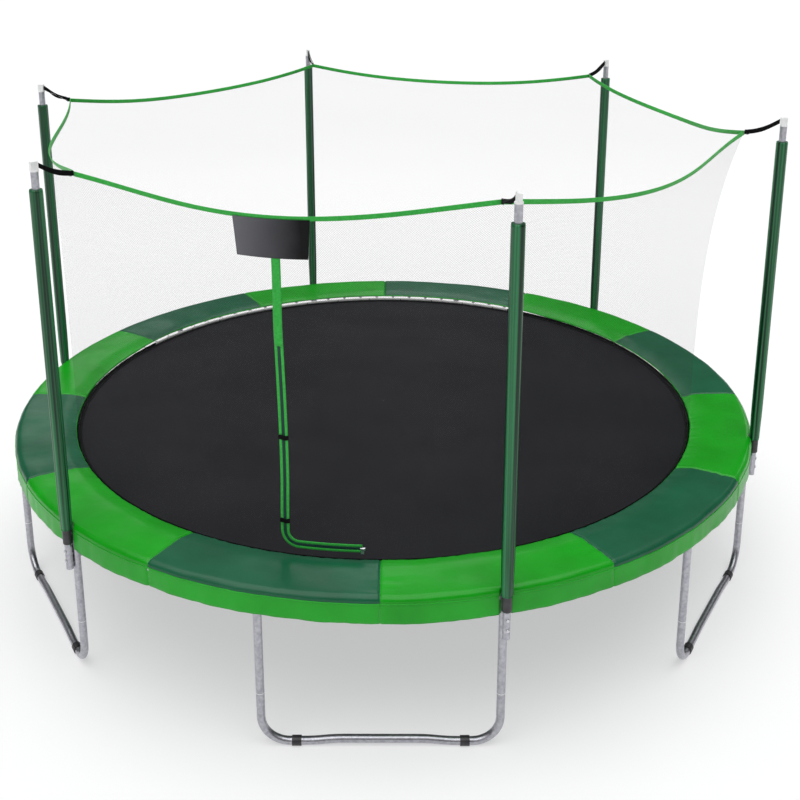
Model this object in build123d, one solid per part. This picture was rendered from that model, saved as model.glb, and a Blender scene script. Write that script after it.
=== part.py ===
from build123d import *
import math
import os

# Round backyard trampoline with a safety net enclosure. Millimetres, +Z up.
# The origin is on the ground, under the centre of the jumping mat.

# ---- driving dimensions -------------------------------------------------
FRAME_OD = 4572.0  # a 15 ft frame, measured over the top rail
TUBE_R = 21.0  # legs and top rail, 42 mm tube
TUBE_WALL = 1.5
RAIL_R = FRAME_OD / 2 - TUBE_R  # circle of the rail and of the leg posts
RAIL_Z = 850.0
POST_STEP = 30.0  # degrees between neighbouring leg posts
POST_START = -75.0
LEG_COUNT = 6
LEG_START = -90.0  # direction of the first W of the six U legs
LEG_STEP = 360.0 / LEG_COUNT
POLE_COUNT = 6
POLE_START = -75.0
POLE_STEP = 360.0 / POLE_COUNT
POLE_TUBE_R = 19.0
POLE_R = RAIL_R + TUBE_R + POLE_TUBE_R + 3.0  # circle of the net poles
POLE_BOTTOM_Z = 640.0
POLE_JOINT_Z = 1655.0
POLE_TOP_Z = 2776.0
FIT = 0.3  # clearance between a tube and what slides over it

# ---- legs ---------------------------------------------------------------
FOOT_TUBE_Z = 23.5  # centre of the bottom bar where the foot bands sit
LEG_JOINT_Z = 303.0
JOINT_RING_H = 3.0
LEG_BEND_R = 140.0
LEG_ARCH = 12.0  # how far the bottom bar rises between its foot bands
ARCH_BEND_R = 800.0
FOOT_OFFSET = 414.0
FOOT_BAND_R = 25.5
FOOT_BAND_W = 46.0
POST_TOP_Z = 822.0
SPIGOT_LEN = 60.0

# ---- mat and springs ----------------------------------------------------
MAT_R = 1948.0
MAT_TOP_Z = 852.0
MAT_THICK = 2.5
HEM_WIDTH = 45.0
SPRINGS_PER_RAIL = 8
SPRING_COUNT = SPRINGS_PER_RAIL * 12
SPRING_R = 11.0
SPRING_BODY = 165.0  # closed-coil length
RING_OUT_R = 1986.0  # tip of the V-rings

# ---- pad ----------------------------------------------------------------
PAD_IN_R = 1932.0
PAD_OUT_R = 2294.0
PAD_TOP_Z = 905.0
PAD_THICK = 25.0
SKIRT_THICK = 4.0
SKIRT_BOTTOM_Z = 760.0
PAD_NOTCH_R = 36.5  # room for the foam sleeves
PAD_GAP_DEG = 0.02

# ---- poles --------------------------------------------------------------
FOAM_R = 34.0
FOAM_BOTTOM_Z = 872.0
FOAM_TOP_Z = 2690.0
END_CAP_R = 24.5
END_CAP_BOTTOM_Z = 787.0
END_CAP_OPEN_X = -15.0  # the collar is open behind this line, where the leg post passes
CAP_TOP_Z = 2826.0
CAP_TAB_THICK = 19.0
CAP_TAB_DEPTH = 38.0
CAP_TAB_ROUND = 5.0
BOLT_Z = (690.0, 745.0)
BOLT_R = 4.0

# ---- net ----------------------------------------------------------------
NET_BASE_R = 1921.0
NET_BASE_Z = 874.0
NET_CORNER_R = 2100.0
NET_CORNER_Z = 2730.0
NET_MID_R = 1950.0  # top edge, halfway between two poles
NET_MID_Z = 2620.0
NET_THICK = 2.0
NET_FLARE = 3.6  # how late the net leans outwards on its way up
NET_PULL = 4  # how near the poles the top edge is drawn out towards them
CORD_HALF = 12.0  # half the height of the webbing along the top edge

# ---- doorway ------------------------------------------------------------
DOOR_DEG = -104.2  # upright part of the zipper
ZIP_END_DEG = -92.6
ZIP_LOW_Z = 933.0
ZIP_TOP_Z = 1990.0
ZIP_BEND_R = 70.0
TAPE_IN = 8.0  # the tapes lie this far either side of the zipper's middle
TAPE_OUT = 22.0
TAPE_LIFT = 1.8  # gap from the middle of the netting
SLIDER_LIFT = 5.0
PULL_LEN = 22.0
LABEL_FROM_DEG, LABEL_TO_DEG = -110.2, -99.2
LABEL_DROP = 190.0
TAB_Z = (1058.0, 1510.0)


def out_dir(name):
    return os.path.join("parts", name + ".step")


def save(name, *solids):
    """One file per sub-part, holding one or more separate solids."""
    found = [s for shape in solids for s in shape.solids()]
    export_step(found[0] if len(found) == 1 else Compound(children=found), out_dir(name))


def spun(radius, angle, z=0.0):
    """A frame at this radius and direction, with local +X pointing outwards."""
    return Location((radius * math.cos(math.radians(angle)), radius * math.sin(math.radians(angle)), z), (0, 0, angle))


def tube(radius, wall, bottom, top):
    ring = Circle(radius) - Circle(radius - wall)
    return Pos(0, 0, bottom) * extrude(ring, top - bottom)


def rod(radius, bottom, top):
    return Pos(0, 0, bottom) * extrude(Circle(radius), top - bottom)


def ring_arc(section, start, sweep):
    """Turns a section, drawn in the XZ plane, about the trampoline's own axis."""
    return Rot(0, 0, start) * revolve(section, Axis.Z, sweep)


def ring_box(inner, outer, bottom, top, start, sweep):
    section = Plane.XZ * Pos((inner + outer) / 2, (bottom + top) / 2) * Rectangle(outer - inner, top - bottom)
    return ring_arc(section, start, sweep)


# ---- frame --------------------------------------------------------------
def top_rail(start):
    """One curved rail between two T-sockets."""
    gap = math.degrees(1.0 / RAIL_R)
    section = Plane.XZ * Pos(RAIL_R, RAIL_Z) * (Circle(TUBE_R) - Circle(TUBE_R - TUBE_WALL))
    return ring_arc(section, start + gap, POST_STEP - 2 * gap)


def t_socket(angle):
    """Short sleeve over the joint of two rails, with a stub that enters the leg post."""
    half = 1.9
    bore = TUBE_R + 0.2
    outer = Plane.XZ * Pos(RAIL_R, RAIL_Z) * Circle(bore + 2.0)
    inner = Plane.XZ * Pos(RAIL_R, RAIL_Z) * Circle(bore)
    stub_r = TUBE_R - TUBE_WALL - FIT
    sleeve = ring_arc(outer, angle - half, 2 * half)
    stub = spun(RAIL_R, angle) * rod(stub_r, POST_TOP_Z - SPIGOT_LEN, RAIL_Z)
    hollow = spun(RAIL_R, angle) * rod(stub_r - 2.0, POST_TOP_Z - SPIGOT_LEN - 1, RAIL_Z)
    return sleeve + stub - ring_arc(inner, angle - half - 1, 2 * half + 2) - hollow


def leg_post(angle):
    """Upright leg tube with a swaged lower end that plugs into the U leg."""
    bottom = LEG_JOINT_Z + JOINT_RING_H
    spigot_r = TUBE_R - TUBE_WALL - FIT
    body = rod(TUBE_R, bottom, POST_TOP_Z) + rod(spigot_r, bottom - SPIGOT_LEN, bottom)
    bore = rod(TUBE_R - TUBE_WALL, bottom + 4, POST_TOP_Z)
    return spun(RAIL_R, angle) * (body - bore - rod(spigot_r - TUBE_WALL, bottom - SPIGOT_LEN, bottom + 5))


def leg_frame(angle):
    """The plane of one U leg: local X along the bottom bar, local Y up."""
    radius = RAIL_R * math.cos(math.radians(POST_STEP / 2))
    turn = math.radians(angle)
    along = Vector(-math.sin(turn), math.cos(turn), 0)
    outwards = Vector(math.cos(turn), math.sin(turn), 0)
    return Plane(origin=outwards * radius, x_dir=along, z_dir=outwards)


def leg_base(angle):
    half = RAIL_R * math.sin(math.radians(POST_STEP / 2))
    low = FOOT_TUBE_Z
    high = FOOT_TUBE_Z + LEG_ARCH
    points = [
        (-half, LEG_JOINT_Z), (-half, low), (-330, low), (-230, high),
        (230, high), (330, low), (half, low), (half, LEG_JOINT_Z),
    ]
    radii = [LEG_BEND_R] + [ARCH_BEND_R] * 4 + [LEG_BEND_R]
    path = leg_frame(angle) * FilletPolyline(*points, radius=radii)
    start = Plane(origin=path @ 0, z_dir=path % 0)
    outer = sweep(start * Circle(TUBE_R), path=path)
    return outer - sweep(start * Circle(TUBE_R - TUBE_WALL), path=path)


def foot_band(angle, offset):
    """Plastic band round the bottom bar, flattened where it meets the ground."""
    ring = Circle(FOOT_BAND_R) - Circle(TUBE_R + 0.1)
    band = extrude(ring, FOOT_BAND_W / 2, both=True)
    ground = Pos(0, -FOOT_TUBE_Z - 20, 0) * Box(80, 40, 80)
    lying = Rot(0, 90, 0) * (band - ground)
    plane = leg_frame(angle)
    return plane.location * Pos(offset, FOOT_TUBE_Z, 0) * lying


# ---- net poles ----------------------------------------------------------
def pole_lower(angle):
    body = tube(POLE_TUBE_R, TUBE_WALL, POLE_BOTTOM_Z, POLE_JOINT_Z - 0.5)
    for z in BOLT_Z:
        body -= Pos(0, 0, z) * Rot(0, 90, 0) * Cylinder(BOLT_R + 0.4, 100)
    return spun(POLE_R, angle) * body


def pole_upper(angle):
    body = tube(POLE_TUBE_R, TUBE_WALL, POLE_JOINT_Z, POLE_TOP_Z)
    spigot_r = POLE_TUBE_R - TUBE_WALL - FIT
    collar = rod(POLE_TUBE_R - TUBE_WALL / 2, POLE_JOINT_Z, POLE_JOINT_Z + 6)
    spigot = rod(spigot_r, POLE_JOINT_Z - 80, POLE_JOINT_Z + 6)
    return spun(POLE_R, angle) * (body + collar + spigot - rod(spigot_r - TUBE_WALL, POLE_JOINT_Z - 81, POLE_JOINT_Z + 7))


def foam_sleeve(angle):
    bore = POLE_TUBE_R + FIT
    body = rod(FOAM_R, FOAM_BOTTOM_Z, FOAM_TOP_Z)
    return spun(POLE_R, angle) * (chamfer(body.edges(), 5) - rod(bore, FOAM_BOTTOM_Z - 1, FOAM_TOP_Z + 1))


def sleeve_end_cap(angle):
    """Black plastic collar that closes the foam sleeve's lower end."""
    body = rod(END_CAP_R, END_CAP_BOTTOM_Z, FOAM_BOTTOM_Z - 0.5)
    body = fillet(body.edges().group_by(Axis.Z)[0], 6)
    bore = rod(POLE_TUBE_R + FIT, END_CAP_BOTTOM_Z - 1, FOAM_BOTTOM_Z)
    rail_side = Pos(END_CAP_OPEN_X - 30, 0, (END_CAP_BOTTOM_Z + FOAM_BOTTOM_Z) / 2) * Box(60, 60, 100)
    return spun(POLE_R, angle) * (body - bore - rail_side)


def pole_cap(angle):
    """White plug with an upright flat tab that the net strap is fixed to."""
    plug = rod(POLE_TUBE_R - TUBE_WALL - 0.2, POLE_TOP_Z - 40, POLE_TOP_Z + 1)
    collar = rod(POLE_TUBE_R + 1.5, POLE_TOP_Z + 0.1, POLE_TOP_Z + 8)
    height = CAP_TOP_Z - POLE_TOP_Z - 1
    tab = Box(CAP_TAB_DEPTH, CAP_TAB_THICK, height)
    tab = fillet(tab.edges().group_by(Axis.Z)[-1], CAP_TAB_ROUND)
    return spun(POLE_R, angle) * (plug + collar + Pos(0, 0, CAP_TOP_Z - height / 2) * tab)


def pole_spacer(angle, z):
    """Small block between a pole and the leg post behind it."""
    middle = (RAIL_R + TUBE_R + POLE_R - POLE_TUBE_R) / 2
    block = Box(24, 22, 30) - Pos(-(middle - RAIL_R), 0, 0) * Cylinder(TUBE_R + 0.1, 40)
    block -= Pos(POLE_R - middle, 0, 0) * Cylinder(POLE_TUBE_R + 0.1, 40)
    return spun(middle, angle, z) * (block - Rot(0, 90, 0) * Cylinder(BOLT_R + 0.4, 60))


def pole_bolt(angle, z):
    """Carriage bolt through pole, spacer and leg post."""
    tip = RAIL_R - TUBE_R - 12
    head = POLE_R + POLE_TUBE_R + 0.4
    shank = Cylinder(BOLT_R, head - tip, align=(Align.CENTER, Align.CENTER, Align.MIN))
    dome = Pos(0, 0, head - tip) * extrude(Circle(9), 4)
    dome = chamfer(dome.edges().group_by(Axis.Z)[-1], 2)
    return spun(tip, angle, z) * Rot(0, 90, 0) * (shank + dome)


def pole_nut(angle, z):
    face = RAIL_R - TUBE_R - 0.4
    nut = extrude(RegularPolygon(7.5, 6) - Circle(BOLT_R + 0.1), 7)
    return spun(face, angle, z) * Rot(0, -90, 0) * nut


def bolted(post):
    """A leg post with the holes of the pole bolts, where a pole is fixed to it."""
    for k in range(POLE_COUNT):
        for z in BOLT_Z:
            post -= spun(RAIL_R, POLE_START + k * POLE_STEP, z) * Rot(0, 90, 0) * Cylinder(BOLT_R + 0.4, 100)
    return post


# ---- mat and springs ----------------------------------------------------
def mat():
    return rod(MAT_R, MAT_TOP_Z - MAT_THICK, MAT_TOP_Z)


def mat_hem():
    return tube(MAT_R, HEM_WIDTH, MAT_TOP_Z, MAT_TOP_Z + 1.8)


def v_ring(angle):
    """Triangular steel ring sewn into the hem, its tip towards the spring."""
    base = MAT_R + 0.5
    outer = Polyline((base, -22), (RING_OUT_R, 0), (base, 22), close=True)
    inner = Polyline((base + 4, -14.5), (RING_OUT_R - 8, 0), (base + 4, 14.5), close=True)
    plate = make_face(outer) - make_face(inner)
    return Rot(0, 0, angle) * Pos(0, 0, MAT_TOP_Z - 4) * extrude(plate, 4)


def spring(angle):
    """Closed-coil extension spring: the coil as a solid barrel, with its two straight ends."""
    inner_end = RING_OUT_R + 1.0
    outer_end = RAIL_R - TUBE_R - 0.5
    middle = (inner_end + outer_end) / 2
    lying = Rot(0, 90, 0)
    barrel = lying * Cylinder(SPRING_R, SPRING_BODY)
    ends = lying * Cylinder(2.0, outer_end - inner_end)
    return spun(middle, angle, MAT_TOP_Z - 2) * (barrel + ends)


# ---- safety pad ---------------------------------------------------------
def notches(shape):
    for k in range(POLE_COUNT):
        shape -= spun(POLE_R, POLE_START + k * POLE_STEP) * rod(PAD_NOTCH_R, SKIRT_BOTTOM_Z - 10, PAD_TOP_Z + 10)
    return shape


def pad_segment(start):
    """Foam-filled top of the pad between two seams."""
    flat = ring_box(PAD_IN_R, PAD_OUT_R, PAD_TOP_Z - PAD_THICK, PAD_TOP_Z,
                    start + PAD_GAP_DEG, POST_STEP - 2 * PAD_GAP_DEG)
    return notches(flat)


def pad_skirt(start):
    """Fabric wall that hangs from the pad's outer edge."""
    wall = ring_box(PAD_OUT_R - SKIRT_THICK, PAD_OUT_R, SKIRT_BOTTOM_Z, PAD_TOP_Z - PAD_THICK - 0.1,
                    start + PAD_GAP_DEG, POST_STEP - 2 * PAD_GAP_DEG)
    return notches(wall)


# ---- net surface --------------------------------------------------------
def span_place(angle):
    """From -1 to 1 across the span between two poles; 0 is halfway."""
    return ((angle - POLE_START) % POLE_STEP) / (POLE_STEP / 2) - 1


def net_top(angle):
    """Radius and height of the net's top edge, which sags between the poles."""
    place = abs(span_place(angle))
    radius = NET_MID_R + (NET_CORNER_R - NET_MID_R) * place**NET_PULL
    return radius, NET_MID_Z + (NET_CORNER_Z - NET_MID_Z) * place**2


def net_radius(angle, z):
    top_r, top_z = net_top(angle)
    share = max(0.0, (z - NET_BASE_Z) / (top_z - NET_BASE_Z))
    return NET_BASE_R + (top_r - NET_BASE_R) * share**NET_FLARE


def net_point(angle, z, lift=0.0):
    radius = net_radius(angle, z) + lift
    turn = math.radians(angle)
    return Vector(radius * math.cos(turn), radius * math.sin(turn), z)


def triangles(a, b, c, d):
    return [Face(Wire.make_polygon([a, b, c])), Face(Wire.make_polygon([a, c, d]))]


def slab(front, back):
    """Closed solid between two grids of points, listed row by row."""
    rows = len(front)
    cols = len(front[0])
    faces = []
    for i in range(rows - 1):
        for j in range(cols - 1):
            for grid in (front, back):
                faces += triangles(grid[i][j], grid[i][j + 1], grid[i + 1][j + 1], grid[i + 1][j])
    for i in range(rows - 1):
        for j in (0, cols - 1):
            faces += triangles(front[i][j], front[i + 1][j], back[i + 1][j], back[i][j])
    for j in range(cols - 1):
        for i in (0, rows - 1):
            faces += triangles(front[i][j], front[i][j + 1], back[i][j + 1], back[i][j])
    solid = Solid(Shell(faces))
    return solid if solid.volume > 0 else -solid


def net_patch(places, lift_in, lift_out):
    """Slab that lies on the net; places is a grid of (angle, height) pairs."""
    return slab(*[[[net_point(a, z, lift) for a, z in row] for row in places] for lift in (lift_out, lift_in)])


def steps(first, last, count):
    return [first + (last - first) * k / count for k in range(count + 1)]


def net_panel(index):
    """One panel of netting between two poles, below the webbing of the top edge."""
    start = POLE_START + index * POLE_STEP
    angles = steps(start + 0.03, start + POLE_STEP - 0.03, 8)
    places = [[(a, NET_BASE_Z + (net_top(a)[1] - CORD_HALF - 2 - NET_BASE_Z) * s) for a in angles]
              for s in steps(0.0, 1.0, 7)]
    return net_patch(places, -NET_THICK / 2, NET_THICK / 2)


def top_webbing(index):
    """Webbing sewn along the net's top edge, from one corner to the next."""
    start = POLE_START + index * POLE_STEP
    angles = steps(start + 0.05, start + POLE_STEP - 0.05, 12)
    grids = []
    for lift in (3.0, -3.0):
        rows = []
        for drop in (-CORD_HALF, CORD_HALF):
            row = []
            for a in angles:
                radius, z = net_top(a)
                turn = math.radians(a)
                row.append(Vector((radius + lift) * math.cos(turn), (radius + lift) * math.sin(turn), z + drop))
            rows.append(row)
        grids.append(rows)
    return slab(*grids)


def net_hem(index):
    """White band along the net's lower edge."""
    return ring_box(NET_BASE_R - 1.5, NET_BASE_R + 1.5, MAT_TOP_Z + 6, NET_BASE_Z - 0.5,
                    POLE_START + index * POLE_STEP + 0.03, POLE_STEP - 0.06)


def corner_ring(angle):
    """Steel ring that joins the net's corner to its pole strap."""
    return spun(NET_CORNER_R + 19, angle, NET_CORNER_Z + 4) * Rot(90, 0, 0) * Torus(13, 2.2)


def pole_strap(angle):
    """Black webbing on edge, from the pole cap in to the net's corner ring."""
    high = Vector(POLE_R - CAP_TAB_DEPTH / 2 - 9, 0, POLE_TOP_Z + 30)
    low = Vector(NET_CORNER_R + 35, 0, NET_CORNER_Z + 9)
    run = high - low
    lean = -math.degrees(math.atan2(run.Z, run.X))
    middle = (high + low) * 0.5
    return Rot(0, 0, angle) * Pos(middle.X, 0, middle.Z) * Rot(0, lean, 0) * Box(run.length, 3, 25)


def label():
    """Blank banner hung from the top webbing beside the door."""
    angles = steps(LABEL_FROM_DEG, LABEL_TO_DEG, 4)
    high = NET_CORNER_Z - 110 - CORD_HALF - 4
    places = [[(a, high - LABEL_DROP * s) for a in angles] for s in steps(0, 1, 3)]
    return net_patch(places, 3.5, 5.0)


# ---- doorway ------------------------------------------------------------
def zip_route():
    """Middle of the zipper on the unrolled net: down, round a bend, then sideways."""
    left = math.radians(DOOR_DEG) * NET_BASE_R
    right = math.radians(ZIP_END_DEG) * NET_BASE_R
    down = [((left, z), (1.0, 0.0)) for z in steps(ZIP_TOP_Z, ZIP_LOW_Z + ZIP_BEND_R, 5)]
    bend = []
    for turn in steps(0, 90, 5)[1:]:
        c, s = math.cos(math.radians(turn)), math.sin(math.radians(turn))
        bend.append(((left + ZIP_BEND_R * (1 - c), ZIP_LOW_Z + ZIP_BEND_R * (1 - s)), (c, s)))
    across = [((u, ZIP_LOW_Z), (0.0, 1.0)) for u in steps(left + ZIP_BEND_R, right, 5)[1:]]
    return down + bend + across


def along_zip(side_from, side_to, lift_in, lift_out):
    """Strip beside the zipper; a positive side is towards the inside of its bend."""
    places = []
    for side in (side_from, side_to):
        row = []
        for (u, z), (nu, nz) in zip_route():
            row.append((math.degrees((u + nu * side) / NET_BASE_R), z + nz * side))
        places.append(row)
    return net_patch(places, lift_in, lift_out)


def door_strap():
    """Wide webbing that carries the zipper's top end up to the banner."""
    top = NET_CORNER_Z - 110 - CORD_HALF - 4 - LABEL_DROP - 3
    half = math.degrees(TAPE_OUT / NET_BASE_R)
    places = [[(DOOR_DEG - half, z), (DOOR_DEG + half, z)] for z in steps(ZIP_TOP_Z + 3, top, 4)]
    return net_patch(places, TAPE_LIFT, TAPE_LIFT + 1.6)


def door_tab(z):
    """Short black tab across the zipper, which keeps it shut."""
    half = math.degrees((TAPE_OUT + 3) / NET_BASE_R)
    places = [[(DOOR_DEG - half, level), (DOOR_DEG + half, level)] for level in (z - 11, z + 11)]
    return net_patch(places, 4.2, 6.0)


def zipper_slider():
    radius = NET_BASE_R + SLIDER_LIFT
    block = Box(8, 26, 15, align=(Align.MIN, Align.CENTER, Align.CENTER))
    block = chamfer(block.faces().sort_by(Axis.X)[-1].edges(), 2)
    bridge = Pos(8, 0, 2) * (Box(5, 12, 7, align=(Align.MIN, Align.CENTER, Align.CENTER)))
    hole = Pos(10.5, 0, 2) * Rot(90, 0, 0) * Cylinder(1.4, 20)
    return spun(radius, ZIP_END_DEG, ZIP_LOW_Z) * (block + bridge - hole)


def zipper_pull():
    """Pull tab that hangs from the slider's bridge on a short pin."""
    pin = Rot(90, 0, 0) * Cylinder(1.35, 15)
    cheeks = [Pos(0, y, -3) * Box(2.4, 1.6, 9) for y in (-7.2, 7.2)]
    tab = Pos(0, 0, -PULL_LEN + 6) * Box(2.4, 16, PULL_LEN - 5)
    return spun(NET_BASE_R + SLIDER_LIFT + 10.5, ZIP_END_DEG, ZIP_LOW_Z + 2) * (pin + cheeks[0] + cheeks[1] + tab)


def build():
    os.makedirs("parts", exist_ok=True)
    posts = [POST_START + k * POST_STEP for k in range(12)]
    poles = [POLE_START + k * POLE_STEP for k in range(POLE_COUNT)]
    legs = [LEG_START + k * LEG_STEP for k in range(LEG_COUNT)]

    for k in range(LEG_COUNT):
        save(f"top_rails_{k + 1}", top_rail(posts[2 * k]), top_rail(posts[2 * k + 1]))
    save("t_sockets", *[t_socket(a) for a in posts])
    for k, angle in enumerate(legs):
        save(f"leg_base_{k + 1}", leg_base(angle))
        save(f"leg_posts_{k + 1}", *[bolted(leg_post(angle + side * POST_STEP / 2)) for side in (-1, 1)])
    rings = [spun(RAIL_R, a) * tube(TUBE_R + 0.6, 2.0, LEG_JOINT_Z + 0.2, LEG_JOINT_Z + JOINT_RING_H - 0.2)
             for a in posts]
    save("joint_rings", *rings)
    save("foot_bands", *[foot_band(a, side * FOOT_OFFSET) for a in legs for side in (-1, 1)])

    for k, angle in enumerate(poles):
        save(f"pole_upper_{k + 1}", pole_upper(angle))
    save("pole_lowers", *[pole_lower(a) for a in poles])
    save("foam_sleeves", *[foam_sleeve(a) for a in poles])
    save("sleeve_end_caps", *[sleeve_end_cap(a) for a in poles])
    save("pole_caps", *[pole_cap(a) for a in poles])
    save("pole_spacers", *[pole_spacer(a, z) for a in poles for z in BOLT_Z])
    save("pole_bolts", *[pole_bolt(a, z) for a in poles for z in BOLT_Z])
    save("pole_nuts", *[pole_nut(a, z) for a in poles for z in BOLT_Z])

    spring_angles = [POST_START + (k + 0.5) * 360.0 / SPRING_COUNT for k in range(SPRING_COUNT)]
    save("mat", mat())
    save("mat_hem", mat_hem())
    save("v_rings", *[v_ring(a) for a in spring_angles])
    save("springs", *[spring(a) for a in spring_angles])

    seams = [LEG_START + k * POST_STEP for k in range(12)]
    save("pad_bright", *[pad_segment(a) for a in seams[0::2]])
    save("pad_dark", *[pad_segment(a) for a in seams[1::2]])
    save("pad_skirt", *[s for a in seams for s in pad_skirt(a).solids()])

    for k in range(POLE_COUNT):
        save(f"net_panel_{k + 1}", net_panel(k))
    save("net_top_webbing", *[top_webbing(k) for k in range(POLE_COUNT)])
    save("net_hem", *[net_hem(k) for k in range(POLE_COUNT)])
    save("corner_rings", *[corner_ring(a) for a in poles])
    save("pole_straps", *[pole_strap(a) for a in poles])
    save("label_banner", label())
    save("door_strap", door_strap())
    save("zipper_tapes", along_zip(-TAPE_OUT, -TAPE_IN, TAPE_LIFT, TAPE_LIFT + 1.6), along_zip(TAPE_IN, TAPE_OUT, TAPE_LIFT, TAPE_LIFT + 1.6))
    save("zipper_chain", along_zip(-TAPE_IN + 0.5, TAPE_IN - 0.5, TAPE_LIFT, TAPE_LIFT + 1.8))
    save("door_tabs", *[door_tab(z) for z in TAB_Z])
    save("zipper_slider", zipper_slider())
    save("zipper_pull", zipper_pull())


build()
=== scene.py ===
import math

import bpy
from mathutils import Matrix, Vector, noise


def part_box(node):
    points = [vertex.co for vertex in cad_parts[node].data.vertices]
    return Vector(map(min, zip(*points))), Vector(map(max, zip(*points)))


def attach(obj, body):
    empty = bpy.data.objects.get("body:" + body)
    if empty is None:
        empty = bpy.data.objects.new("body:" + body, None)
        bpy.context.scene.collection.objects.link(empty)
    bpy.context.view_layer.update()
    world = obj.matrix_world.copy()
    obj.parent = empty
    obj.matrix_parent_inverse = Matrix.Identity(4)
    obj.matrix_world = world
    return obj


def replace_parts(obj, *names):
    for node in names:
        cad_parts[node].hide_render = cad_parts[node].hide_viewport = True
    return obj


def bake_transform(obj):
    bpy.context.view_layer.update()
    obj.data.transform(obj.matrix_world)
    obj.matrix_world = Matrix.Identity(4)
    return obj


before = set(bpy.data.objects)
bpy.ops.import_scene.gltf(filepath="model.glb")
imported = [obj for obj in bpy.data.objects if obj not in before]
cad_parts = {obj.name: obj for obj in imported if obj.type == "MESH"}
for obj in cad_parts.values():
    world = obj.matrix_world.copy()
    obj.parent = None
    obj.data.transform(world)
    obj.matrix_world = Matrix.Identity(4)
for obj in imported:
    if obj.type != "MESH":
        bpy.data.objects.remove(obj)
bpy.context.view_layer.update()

# A round backyard trampoline. Metres, +Z up, origin on the ground under the mat's centre.

# ---- places, from the frame ----------------------------------------------
POLE_COUNT = 6
POLE_START = -75.0  # degrees
POLE_STEP = 360.0 / POLE_COUNT
SECTORS = 12  # the pad, mat, springs and hems are made in twelfths
SEGMENT = 360.0 / SECTORS
SEAM_START = -90.0  # degrees, the first seam of the pad

pad_low, pad_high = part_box("pad_bright")
skirt_low, skirt_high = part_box("pad_skirt")
foam_low, foam_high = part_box("foam_sleeves")
hem_low, hem_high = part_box("net_hem")
cap_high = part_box("pole_caps")[1]
mat_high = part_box("mat")[1]

RAIL_R = 2.265
TUBE_R = 0.021
POLE_R = 2.308

PAD_TOP = pad_high[2]
PAD_UNDER = pad_low[2]
PAD_OUT = skirt_high[0]
PAD_IN = 1.932
PAD_DROOP = 0.014  # how far the inner edge hangs down onto the mat
PAD_INNER_ROUND = 0.011
PAD_ROUND = 0.034  # the outer shoulder
PAD_FADE = 0.022  # depth over which the waves of the top die out on the sides
PAD_CROWN = 0.006
SEAM_DEPTH = 0.006
PUCKER_HEIGHT = 0.006
WAVE_HEIGHT = 0.004
PULL_HEIGHT = 0.004
NOTCH_HALF = 0.037  # half the width of the dent that a pole's sleeve makes in the pad
PIPING_Z = PAD_TOP - 0.042
PIPING_R = 0.0038
SKIRT_BOTTOM = skirt_low[2]

MAT_R = mat_high[0]
MAT_TOP = mat_high[2]
SPRING_COUNT = 96
SPRINGS_PER_SECTOR = SPRING_COUNT // SECTORS
TIES_PER_SECTOR = SPRINGS_PER_SECTOR // 2
RING_TIP_R = 1.986
COIL_R = 0.011
COIL_TURNS = 44
HOOK_SHAPE = ((0.4, 0.009), (0.8, 0.008), (1.0, 0.001), (0.85, -0.006))  # (share of its reach, height)

FOAM_R = 0.034
FOAM_BORE_R = 0.0193
FOAM_BOTTOM, FOAM_TOP = foam_low[2], foam_high[2]

NET_BASE_R = 1.921
NET_BASE_Z = hem_high[2] + 0.0005
NET_CORNER_R, NET_CORNER_Z = 2.100, 2.730
NET_MID_R, NET_MID_Z = 1.950, 2.620
NET_FLARE = 3.6  # how late the net leans outwards on its way up
NET_PULL = 4  # how near the poles its top edge is drawn out towards them
NET_MESHES = 1080  # meshes round the net
CORD_HALF = 0.012  # half the width of the top webbing
# the net's hem is painted white between these degrees, a painted stand-in for the bright floor seen through
# the gap between mat and pad
PAINTED_GAP_LIGHT_FROM, PAINTED_GAP_LIGHT_TO = 60.0, 150.0  # degrees, where the net's hem is white
TIE_SHAPE = (  # (radius, height) along a cord that ties the net's hem to the mat's edge
    (NET_BASE_R - 0.003, hem_high[2] - 0.003),
    (NET_BASE_R - 0.004, hem_low[2]),
    (NET_BASE_R + 0.004, MAT_TOP + 0.004),
    (MAT_R + 0.004, MAT_TOP + 0.003),
    (NET_BASE_R + 0.006, hem_low[2] + 0.006),
    (NET_BASE_R + 0.003, hem_high[2] - 0.003),
)

DOOR_DEG = -104.2
DOOR_HALF = 0.022  # half the width of the door's webbing
ZIP_END_DEG = -92.6
ZIP_LOW_Z = 0.933
ZIP_TOP_Z = 1.990
ZIP_BEND_R = 0.070
ZIP_STEPS = 24
LABEL_FROM, LABEL_TO = -110.2, -99.2
LABEL_DROP = 0.190
LABEL_INSET = 0.35  # degrees that each side draws in by at the banner's foot
TAB_Z = (1.058, 1.510)

CAP_TAB_HALF = 0.019
STRAP_WIDTH = 0.025
STRAP_SAG = 0.014
STRAP_TWIST = (1.5, 0.3, 0.5, 0.7, 1.3, 0.2)  # radians at the middle of each pole's strap

# The eye, in metres and degrees, and its lens.
EYE_DISTANCE, EYE_HEIGHT, EYE_BEARING = 7.0843, 4.0836, 0.497
EYE_PAN, EYE_PITCH, EYE_ROLL = 0.492, 16.677, -0.237
SENSOR_MM = 36
LENS_RATIO = 1.4831  # focal length over sensor width
SHIFT_X, SHIFT_Y = 0.0217, -0.2038

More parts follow.
